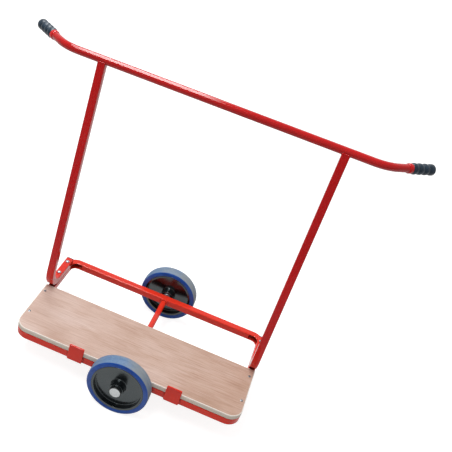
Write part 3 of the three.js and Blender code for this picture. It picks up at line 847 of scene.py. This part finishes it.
def stop_plate(side, red):
    """Flat plate with broken edges and a bead laid down each side of it."""
    node = f"{side}_stop_tab"
    lo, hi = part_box(node)
    width = hi.x - lo.x - 2 * TAB_WELD
    height = hi.z - lo.z
    middle = Vector(((lo.x + hi.x) / 2, 0, (lo.z + hi.z) / 2))
    back = hi.y
    front = back - TAB_THICKNESS
    edge = 0.0006
    part = edge * 0.3
    rings = []
    for y, inset in ((back, edge), (back - part, part), (back - edge, 0), (front + edge, 0),
                     (front + part, part), (front, edge)):
        outline = rounded_box(width - 2 * inset, height - 2 * inset, TAB_CORNER - inset, 6)
        rings.append([middle + Vector((x, y, z)) for x, z in outline])
    add_piece(f"{side}_stop_plate", Shell().loft(rings).mesh(node), red, stands_for=[node])
    start = FRAME_LO.z + 0.0035
    spacing = 0.0009
    for way, sign in SIDES:
        x = middle.x + sign * (width / 2 + 0.0004)
        path = [Vector((x, back - 0.0012, start + spacing * i)) for i in range(20)]
        bead = Shell().loft(bead_rings(path, Y_AXIS, STOP_BEAD, False))
        add_piece(f"{side}_stop_{way}_weld", bead.mesh("stop_weld", sharp=60), red)


# Uprights, plugs and bolts


def upright_tube(side, sign, red):
    """Square tube swept along the foot, round the bend and up the leaning post, welded to the bar."""
    node = f"{side}_upright"
    foot = (Vector((sign * SIDE_X, FOOT_HI.y, FOOT_AXIS)), -Y_AXIS)
    heel = (Vector((sign * SIDE_X, BEND_Y, FOOT_AXIS)), -Y_AXIS)
    turn = bent_on(heel, X_AXIS, UPRIGHT_BEND, -(math.pi / 2 + LEAN), 36)
    short = 0.003
    post = (BAR_HEIGHT - POST_Z) / math.cos(LEAN) - short
    stations = [foot, heel, *turn, straight_on(turn[-1], post)]
    section = rounded_box(TUBE, TUBE, TUBE_EDGE, 6)
    shell = Shell().loft(carried(section, stations, X_AXIS))
    add_piece(f"{node}_tube", shell.mesh(node, sharp=35), red, stands_for=[node])
    bar_weld(side, Vector((sign * SIDE_X, BAR_Y, BAR_HEIGHT)), turn[-1][1], red)


def bar_weld(side, top, up, red):
    """Bead along the line where the square post meets the round bar."""
    across = up.cross(X_AXIS)
    inset = 0.0012
    spacing = 0.0011
    least_drop = 0.0052
    outline = [Vector(point) for point in rounded_box(TUBE - inset, TUBE - inset, TUBE_EDGE, 4)]
    dense = []
    for i, here in enumerate(outline):
        gap = outline[(i + 1) % len(outline)] - here
        steps = max(1, round(gap.length / spacing))
        dense.extend(here + gap * k / steps for k in range(steps))
    path = []
    for point in dense:
        drop = max(least_drop, math.sqrt(max(BAR_RADIUS ** 2 - point.y ** 2, 0)))
        path.append(top + X_AXIS * point.x + across * point.y - up * drop)
    shell = Shell().loft(bead_rings(path, up, BAR_BEAD, True), loop=True)
    add_piece(f"{side}_bar_weld", shell.mesh("bar_weld", sharp=60), red)


def foot_plug(side, plastic):
    """Flange with a softened rim and a shallow dished face, on an insert inside the foot."""
    node = f"{side}_foot_plug"
    lo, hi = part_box(node)
    middle = Vector(((lo.x + hi.x) / 2, 0, (lo.z + hi.z) / 2))
    start = FOOT_HI.y + SEAM
    fit = TUBE - 0.0046
    # Width, corner radius and Y of each ring, from the insert's end to the dished face.
    steps = [(fit, 0.0008, lo.y), (fit, 0.0008, start),
             (TUBE - 0.0004, TUBE_EDGE, start), (TUBE, TUBE_EDGE, start + 0.0003),
             (TUBE, TUBE_EDGE, hi.y - 0.0012), (TUBE - 0.0007, 0.0028, hi.y - 0.0004),
             (TUBE - 0.0022, 0.0025, hi.y), (TUBE - 0.0070, 0.0020, hi.y),
             (TUBE - 0.0080, 0.0018, hi.y - 0.0005)]
    rings = [[middle + Vector((x, y, z)) for x, z in rounded_box(w, w, r, 6)] for w, r, y in steps]
    add_piece(f"{node}_cap", Shell().loft(rings).mesh(node), plastic, stands_for=[node])


def foot_bolt(name, spot, zinc):
    """Button head with a hex socket on a threaded shank."""
    node = f"{name}_bolt"
    lo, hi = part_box(node)
    head = (hi.x - lo.x) / 2
    dome = hi.z - BOLT_SEAT
    root = BOLT_RADIUS - THREAD_DEPTH
    start = lo.z + THREAD_LEAD
    thread = [(BOLT_RADIUS if i % 2 else root, start + HALF_PITCH * i) for i in range(HALF_TURNS)]
    profile = [(0.0028, lo.z), *thread, (BOLT_RADIUS, BOLT_SEAT)]
    profile += eased([(BOLT_RADIUS, BOLT_SEAT, 0), (head, BOLT_SEAT, 0.0004),
                      (head * 0.99, BOLT_SEAT + dome * 0.35, 0.0012),
                      (head * 0.62, BOLT_SEAT + dome * 0.94, 0.006), (0.0034, hi.z, 0)], 6)
    socket = hexagon(SOCKET_FLATS, BOLT_SIDES)
    rings = turned(profile, BOLT_SIDES)
    rings += [polar([1.05 * r for r in socket], hi.z), polar(socket, hi.z - 0.0002),
              polar(socket, hi.z - SOCKET_DEPTH)]
    shell = Shell().loft(rings).place(spot)
    add_piece(f"{node}_button", shell.mesh("bolt", sharp=35), zinc, stands_for=[node])


def foot_washer(name, spot, zinc):
    """Punched washer, one rim rounded over more than the rest."""
    node = f"{name}_washer"
    lo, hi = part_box(node)
    rim = (hi.x - lo.x) / 2
    ease = 0.0003
    ring = eased([(BOLT_BORE, lo.z, ease), (rim, lo.z, ease), (rim, hi.z, 2 * ease),
                  (BOLT_BORE, hi.z, ease)], 3, closed=True)
    shell = Shell().loft(turned(ring, BOLT_SIDES), loop=True).place(spot)
    add_piece(f"{node}_ring", shell.mesh("washer"), zinc, stands_for=[node])


def foot_nut(name, spot, zinc):
    """Hex nut, chamfered at its corners and at its bore."""
    node = f"{name}_nut"
    lo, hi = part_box(node)
    flats = hexagon(NUT_FLATS, BOLT_SIDES)
    cone = [min(r, 0.0066) for r in flats]
    chamfer = 0.0008
    mouth = 0.0006
    bores = [BOLT_BORE] * BOLT_SIDES
    wide = [BOLT_BORE + mouth] * BOLT_SIDES
    rings = [polar(wide, lo.z), polar(cone, lo.z), polar(flats, lo.z + chamfer),
             polar(flats, hi.z - chamfer), polar(cone, hi.z), polar(wide, hi.z),
             polar(bores, hi.z - mouth), polar(bores, lo.z + mouth)]
    shell = Shell().loft(rings, loop=True).place(spot)
    add_piece(f"{name}_hex_nut", shell.mesh("nut", sharp=25), zinc, stands_for=[node])


def foot_fastener(side, place, zinc):
    """Bolt, washer and nut through one end of a foot, on one centre line."""
    name = f"{side}_{place}_foot"
    lo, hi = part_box(f"{name}_bolt")
    spot = upended(((lo.x + hi.x) / 2, (lo.y + hi.y) / 2, 0))
    foot_bolt(name, spot, zinc)
    foot_washer(name, spot, zinc)
    foot_nut(name, spot, zinc)


# Handlebar


def bar_plane():
    """Frame of the bar: its own X along the bar, Y backward, square to the posts."""
    return Matrix.Translation((0, BAR_Y, BAR_HEIGHT)) @ Matrix.Rotation(-LEAN, 4, "X")


def tail_place(sign):
    """Frame at the start of one swept tail, its own Y outward along the tail."""
    out = sign * (BAR_HALF + BAR_BEND * math.sin(BAR_SWEEP))
    back = BAR_BEND * (1 - math.cos(BAR_SWEEP))
    turn = Matrix.Rotation(-sign * (math.pi / 2 - BAR_SWEEP), 4, "Z")
    return bar_plane() @ Matrix.Translation((out, back, 0)) @ turn


def handle_tube(red):
    """Round bar: its right half with the swept tail, and the mirror of it."""
    middle = (Vector((BAR_HALF, 0, 0)), X_AXIS)
    right = [middle, *bent_on(middle, Z_AXIS, BAR_BEND, BAR_SWEEP, 28)]
    right.append(straight_on(right[-1], BAR_TAIL))
    left = [(Vector((-p.x, p.y, p.z)), Vector((a.x, -a.y, a.z))) for p, a in reversed(right)]
    rings = carried(circle(BAR_RADIUS, 56), left + right, Z_AXIS)
    shell = Shell().loft(rings).place(bar_plane())
    add_piece("handle_tube", shell.mesh("handle_tube"), red, stands_for=["handlebar"])


def bar_collar(side, sign, red):
    """Short sleeve beside the grip, sloped up from the bar."""
    node = f"{side}_bar_collar"
    outer = BAR_RADIUS + SEAM + COLLAR_WALL
    near = COLLAR_START
    far = near + COLLAR_LENGTH
    ring = eased([(SLEEVE_BORE, near, 0), (SLEEVE_BORE + 0.0005, near, 0.0002),
                  (outer, near + 0.0034, 0.0020), (outer, far, 0.0007), (SLEEVE_BORE, far, 0)],
                 6, closed=True)
    shell = Shell().loft(turned(ring, 56), loop=True).place(tail_place(sign))
    add_piece(f"{node}_sleeve", shell.mesh(node), red, stands_for=[node])


def grip_sleeve(side, sign, rubber):
    """Sleeve with soft swelling ribs; the last one runs out to the closed, dimpled end."""
    node = f"{side}_grip"
    crest = BAR_RADIUS + SEAM + GRIP_WALL
    groove = crest - GRIP_GROOVE
    far = GRIP_START + GRIP_LENGTH
    floor = far - GRIP_END
    steps = 28
    dimple = 0.0004
    profile = [(0, floor), (SLEEVE_BORE, floor), (SLEEVE_BORE, GRIP_START), (groove - 0.0006, GRIP_START)]
    for i in range(1, round((GRIP_RIBS - 0.5) * steps) + 1):
        swell = abs(math.sin(math.pi * i / steps))
        profile.append((groove + GRIP_GROOVE * swell, GRIP_START + GRIP_LENGTH * i / steps / GRIP_RIBS))
    profile += arc((crest - GRIP_ROUND, far - GRIP_ROUND), GRIP_ROUND, 0, 90, 10)
    profile += [(0.0030, far), (0.0026, far - dimple), (0, far - dimple)]
    shell = Shell().loft(turned(profile, 64), capped=False).place(tail_place(sign))
    add_piece(f"{node}_ribbed", shell.mesh(node, sharp=50), rubber, stands_for=[node])


# Wheels


def wheel_size(end):
    """Distance of a tyre's middle plane along the axle, its half width and its radius."""
    lo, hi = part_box(f"{end}_tyre")
    return abs(lo.y + hi.y) / 2, (hi.y - lo.y) / 2, (hi.z - lo.z) / 2


def both_halves(section, centre):
    """Closed section (r, y, radius) from its half on one side of a middle plane."""
    mirrored = [(r, -y, ease) for r, y, ease in reversed(section)]
    return [(r, y + centre, ease) for r, y, ease in section + mirrored]


def along_axle(node):
    """Near and far end along the axle, and radius, of a piece on it."""
    lo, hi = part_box(node)
    near, far = sorted((abs(lo.y), abs(hi.y)))
    return near, far, (hi.z - lo.z) / 2


def tyre_band(end, hub, rubber):
    """Band with soft shoulders and a fine mould line round its tread."""
    node = f"{end}_tyre"
    centre, half, outer = wheel_size(end)
    inner = outer - TYRE_THICKNESS
    crown = outer - MOULD_LINE
    section = [(inner, half - 0.001, 0.0003), (inner + 0.0012, half - 0.0004, 0.0006),
               (inner + 0.006, half, 0.004), (outer - 0.006, half - 0.0002, 0.004),
               (outer - 0.0012, half - 0.0022, 0.0022), (crown - 0.0002, half - 0.0060, 0.010),
               (crown, 2 * MOULD_LINE, 0), (outer, MOULD_LINE, 0)]
    profile = eased(both_halves(section, centre), 4, closed=True)
    shell = Shell().loft(turned(profile, 160), loop=True).place(hub)
    add_piece(f"{node}_band", shell.mesh("tyre", sharp=50), rubber, f"{end}_wheel", [node])


def rim_moulding(end, hub, plastic):
    """Dished moulding: a band under the tyre, a flat web and a drafted hub."""
    node = f"{end}_rim"
    centre, half, outer = wheel_size(end)
    lo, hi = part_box(node)
    wide = half - RIM_INSET
    hub_half = (hi.y - lo.y) / 2
    rim = outer - TYRE_THICKNESS - SEAM
    lip = rim - RIM_BAND
    root = HUB_RADIUS + HUB_DRAFT
    seat = AXLE_RADIUS + 2 * SEAM + BUSH_WALL
    section = [(rim, wide, 0.0004), (lip, wide, 0.0006), (lip - RIM_DRAFT, WEB_HALF, 0.0024),
               (root, WEB_HALF, 0.0026), (HUB_RADIUS, hub_half, 0.0010), (seat, hub_half, 0.0005)]
    profile = eased(both_halves(section, centre), 6, closed=True)
    shell = Shell().loft(turned(profile, 144), loop=True).place(hub)
    add_piece(f"{node}_moulding", shell.mesh("rim"), plastic, f"{end}_wheel", [node])


def axle_ring(node, title, hub, zinc):
    """Spacer or washer on the axle, its edges eased."""
    near, far, rim = along_axle(node)
    ease = min(0.0006, (far - near) / 3)
    ring = eased([(AXLE_BORE, near, ease / 2), (rim, near, ease), (rim, far, ease),
                  (AXLE_BORE, far, ease / 2)], 4, closed=True)
    shell = Shell().loft(turned(ring, 64), loop=True).place(hub)
    add_piece(f"{node}_{title}", shell.mesh(node), zinc, stands_for=[node])


def axle_cap(node, hub, plastic):
    """Cup over the axle's end with a disc let into its face."""
    near, far, rim = along_axle(node)
    floor = far - CAP_FACE
    cup = eased([(AXLE_BORE, floor, 0), (AXLE_BORE, near, 0.0004), (rim, near, 0.0004),
                 (rim, far - 0.0002, 0.0016), (CAP_DISC + 0.0004, far, 0.0002),
                 (CAP_DISC + 0.0001, far - 0.0005, 0.0001), (CAP_DISC - 0.0003, far - 0.0002, 0.0003),
                 (CAP_DISC * 0.7, far - 0.0001, 0.01), (0, far, 0)], 6)
    shell = Shell().loft(turned([(0, floor), *cup], 72), capped=False).place(hub)
    add_piece(f"{node}_disc", shell.mesh(node), plastic, stands_for=[node])


def wheel(end, sign, looks):
    """Tyre and rim turned on the wheel's own body, with what holds it on the axle."""
    hub = Matrix.Translation((0, 0, AXLE_Z))
    if sign < 0:
        hub = hub @ Matrix.Rotation(math.pi, 4, "Z")
    tyre_band(end, hub, looks["tyre"])
    rim_moulding(end, hub, looks["rim"])
    bush = frame["nodes"][f"{end}_hub_bush"]
    bush.data.materials.clear()
    bush.data.materials.append(looks["bronze"])
    axle_ring(f"{end}_axle_spacer", "sleeve", hub, looks["zinc"])
    axle_ring(f"{end}_axle_washer", "ring", hub, looks["zinc"])
    axle_cap(f"{end}_axle_cap", hub, looks["cap"])


# Stage


def add_camera():
    """Camera at the photograph's viewing angle, rolled because the cart is tipped there."""
    azimuth, elevation, roll = (math.radians(angle) for angle in CAMERA_TURN)
    back = Vector((math.sin(azimuth) * math.cos(elevation), -math.cos(azimuth) * math.cos(elevation),
                   math.sin(elevation)))
    right = (-back).cross(Z_AXIS).normalized()
    down = (-back).cross(right)
    across = right * math.cos(roll) + down * math.sin(roll)
    up = right * math.sin(roll) - down * math.cos(roll)
    data = bpy.data.cameras.new("photo_view")
    data.lens = CAMERA_LENS
    data.shift_x, data.shift_y = CAMERA_SHIFT
    camera = bpy.data.objects.new("photo_view", data)
    turn = Matrix((across, up, back)).transposed().to_4x4()
    camera.matrix_world = Matrix.Translation(CAMERA_PLACE) @ turn
    bpy.context.scene.collection.objects.link(camera)
    bpy.context.scene.camera = camera


def add_floor():
    """Plain square floor."""
    near, far = -FLOOR_HALF, FLOOR_HALF
    corners = [(near, near, 0), (far, near, 0), (far, far, 0), (near, far, 0)]
    mesh = bpy.data.meshes.new("studio_floor")
    mesh.from_pydata(corners, [], [(0, 1, 2, 3)])
    mesh.materials.append(floor_paint())
    floor = bpy.data.objects.new("studio_floor", mesh)
    bpy.context.scene.collection.objects.link(floor)


def add_world():
    """White backdrop in front of the camera, dimmer studio behind it in reflections."""
    world = bpy.data.worlds.new("studio_world")
    world.use_nodes = True
    grow = Nodes(world.node_tree)
    sky = world.node_tree.nodes["Background"]
    sky.inputs["Color"].default_value = (1.0, 1.0, 1.0, 1.0)
    facing = grow.axis(grow.node("ShaderNodeTexCoord", {}).outputs["Generated"], 1)
    backdrop = grow.span(facing, 0.1, 0.8, WORLD_FILL, 1.0)
    fill = grow.span(facing, 0.2, 0.7, WORLD_FILL, WORLD_BACK)
    mirrored = grow.math("MULTIPLY", grow.ray("Glossy"), backdrop)
    seen = grow.math("MAXIMUM", grow.ray("Camera", "Transmission"), mirrored)
    grow.feed(sky.inputs["Strength"], grow.math("MAXIMUM", seen, fill))
    bpy.context.scene.world = world


def add_lamp(name, place, size, power):
    """Area lamp that faces down."""
    data = bpy.data.lights.new(name, "AREA")
    data.shape = "RECTANGLE"
    data.size, data.size_y = size
    data.energy = power
    lamp = bpy.data.objects.new(name, data)
    lamp.location = place
    lamp.visible_camera = False
    bpy.context.scene.collection.objects.link(lamp)
    return lamp


def build():
    """All pieces, each with its look."""
    red = red_paint("red_powder_coat", (srgb(198, 18, 21), srgb(211, 25, 27)), 0.24)
    # The bar's copy of the red: darker, as painted shade, and with a glossier coat.
    bar_red_shaded = red_paint("bar_powder_coat_shaded", (srgb(184, 15, 16), srgb(197, 21, 22)), 0.36)
    zinc = zinc_steel("bright_zinc", (srgb(170, 177, 186), srgb(196, 202, 209), srgb(206, 206, 200)))
    dull = zinc_steel("dull_zinc", (srgb(112, 118, 124), srgb(138, 143, 148), srgb(152, 152, 146)))
    plastic = plug_plastic()
    rubber = grip_rubber()
    looks = {"tyre": tyre_rubber(), "rim": rim_plastic(), "bronze": bush_bronze(), "zinc": zinc,
             "cap": cap_plastic()}
    frame_loop(red)
    axle_bar(red)
    deck_panel(plywood())
    handle_tube(bar_red_shaded)
    for side, sign in SIDES:
        stop_plate(side, red)
        upright_tube(side, sign, red)
        foot_plug(side, plastic)
        bar_collar(side, sign, red)
        grip_sleeve(side, sign, rubber)
        for place in PLACES:
            deck_screw(f"{side}_{place}_deck_screw", dull)
            foot_fastener(side, place, zinc)
    for end, sign in ENDS:
        wheel(end, sign, looks)


bpy.context.scene.view_settings.view_transform = "Standard"
add_camera()
add_floor()
add_world()
add_lamp("softbox", SOFTBOX_PLACE, SOFTBOX_SIZE, SOFTBOX_POWER)
# The strip shows in reflections only.
add_lamp("gloss_strip", STRIP_PLACE, STRIP_SIZE, STRIP_POWER).visible_diffuse = False
build()
